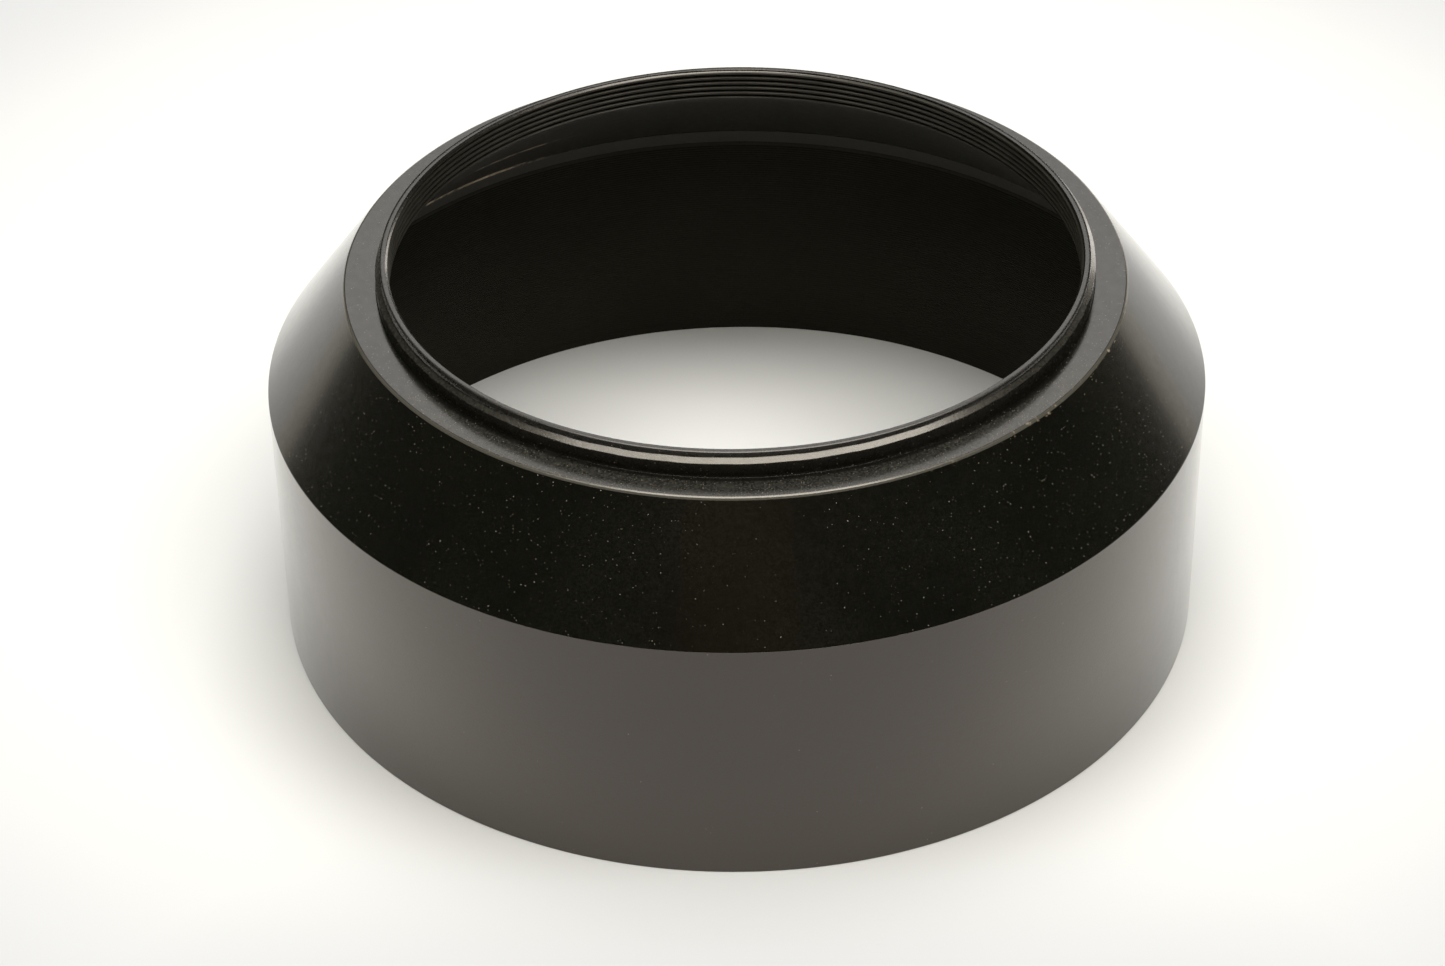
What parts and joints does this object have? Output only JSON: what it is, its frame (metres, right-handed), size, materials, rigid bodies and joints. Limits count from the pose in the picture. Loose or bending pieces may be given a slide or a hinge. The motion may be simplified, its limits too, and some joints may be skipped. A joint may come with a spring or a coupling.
{
  "type": "lens hood",
  "caption": "Round screw-in metal lens hood: threaded collar, tapered shoulder with a smooth inner cone, and a straight front barrel, all matt black.",
  "frame": {"origin": "on the optical axis, in the plane of the front rim, which the hood stands on", "axes": "+Z along the optical axis, from the wide front mouth towards the threaded lens end; X and Y across, with nothing to tell them apart because the hood is round"},
  "size_m": [0.082, 0.082, 0.0353],
  "materials": {
    "collar_black": "black anodised, as turned",
    "shoulder_black": "black anodised, fine matt blast",
    "baffle_black": "black anodised, smooth satin",
    "barrel_black": "black anodised, satin outside, finely grooved matt inside"
  },
  "bodies": {
    "root": {"mount_collar": "collar_black", "shoulder_cone": "shoulder_black", "baffle_cone": "baffle_black", "front_barrel": "barrel_black"}
  },
  "joints": []
}
